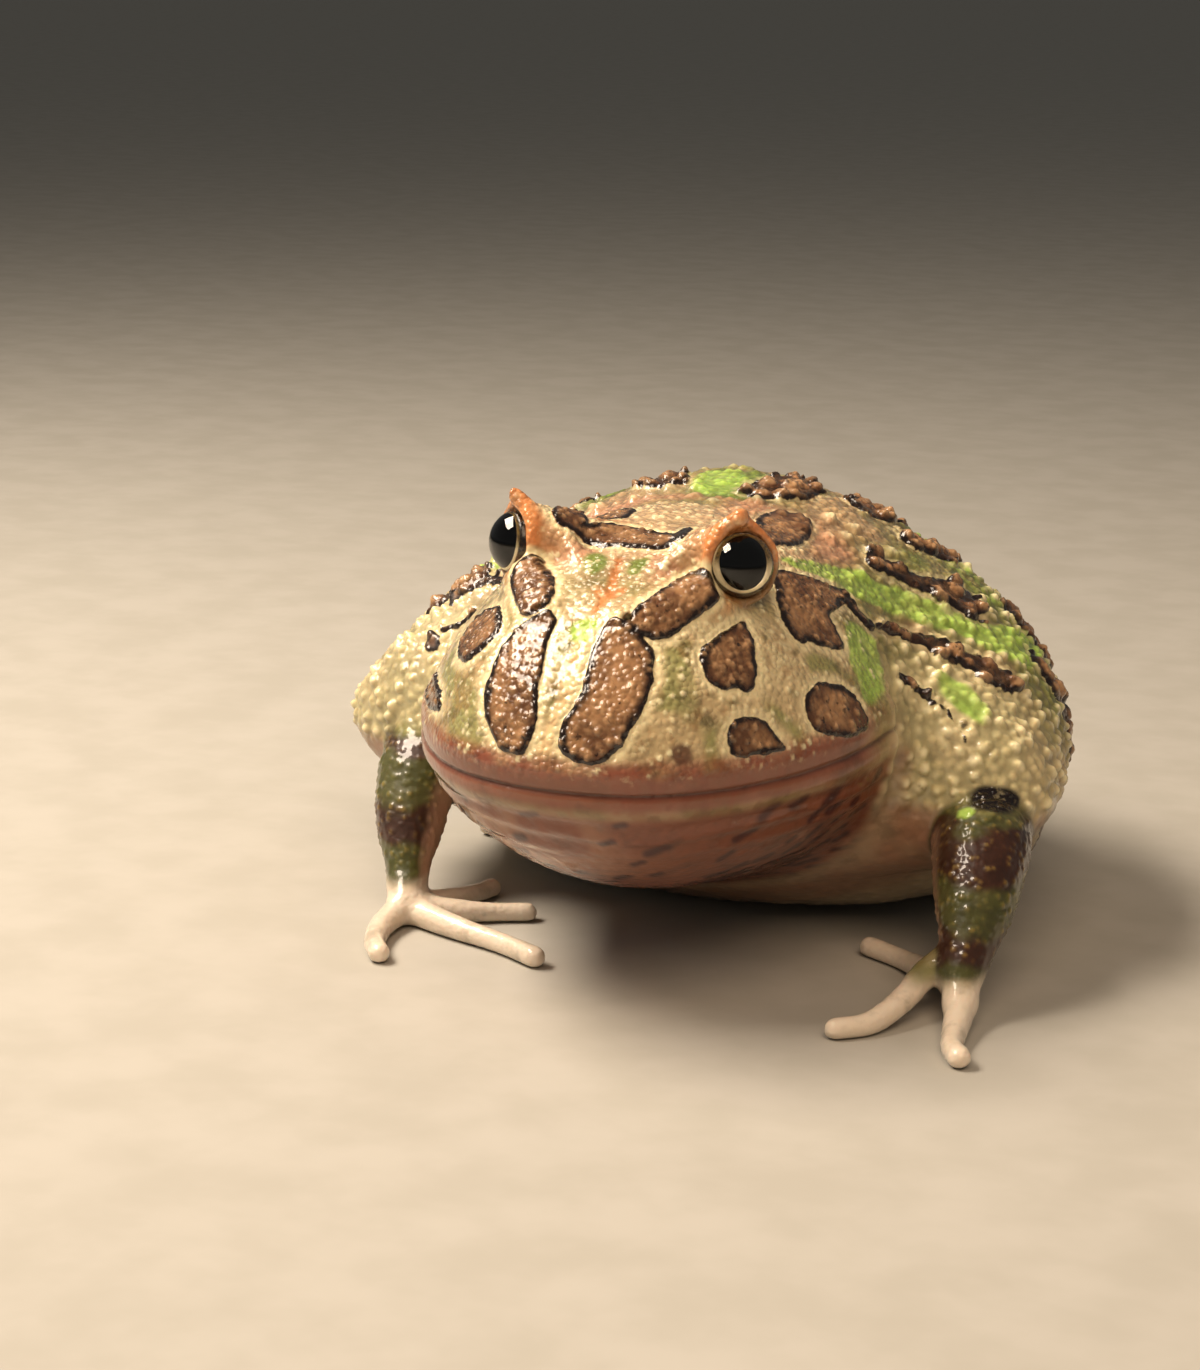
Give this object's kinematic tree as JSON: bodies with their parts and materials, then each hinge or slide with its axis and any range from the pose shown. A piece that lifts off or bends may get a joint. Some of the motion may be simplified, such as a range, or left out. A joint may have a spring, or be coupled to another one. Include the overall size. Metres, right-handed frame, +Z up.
{
  "type": "argentine horned frog, still life-size model",
  "caption": "Life-size still model of a sitting Argentine horned frog: broad round body, wide mouth, pointed brows over raised eyes, folded legs.",
  "frame": {"origin": "on the floor, below the middle of the frog's bounding box", "axes": "+X towards the frog's left side, -Y the way it faces, +Z up; the floor is z = 0"},
  "size_m": [0.0846, 0.0958, 0.0515],
  "materials": {
    "face_skin": "wet warty skin, olive tan with chocolate brown blotches",
    "throat_skin": "wet smooth skin, pinkish cream with red-brown dashes",
    "back_skin": "wet warty skin, green and tan with brown bands",
    "horn_skin": "wet granular skin, orange brown",
    "limb_skin": "wet granular skin, green with brown bands",
    "digit_skin": "smooth wet skin, cream",
    "eye": "glossy black with a thin gold rim"
  },
  "bodies": {
    "root": {"head": "face_skin", "lower_jaw": "throat_skin", "torso": "back_skin", "eye_left": "eye", "horn_left": "horn_skin", "upper_arm_left": "limb_skin", "forearm_left": "limb_skin", "hand_left": "digit_skin", "thigh_left": "limb_skin", "shank_left": "limb_skin", "foot_left": "digit_skin", "eye_right": "eye", "horn_right": "horn_skin", "upper_arm_right": "limb_skin", "forearm_right": "limb_skin", "hand_right": "digit_skin", "thigh_right": "limb_skin", "shank_right": "limb_skin", "foot_right": "digit_skin"}
  },
  "joints": []
}
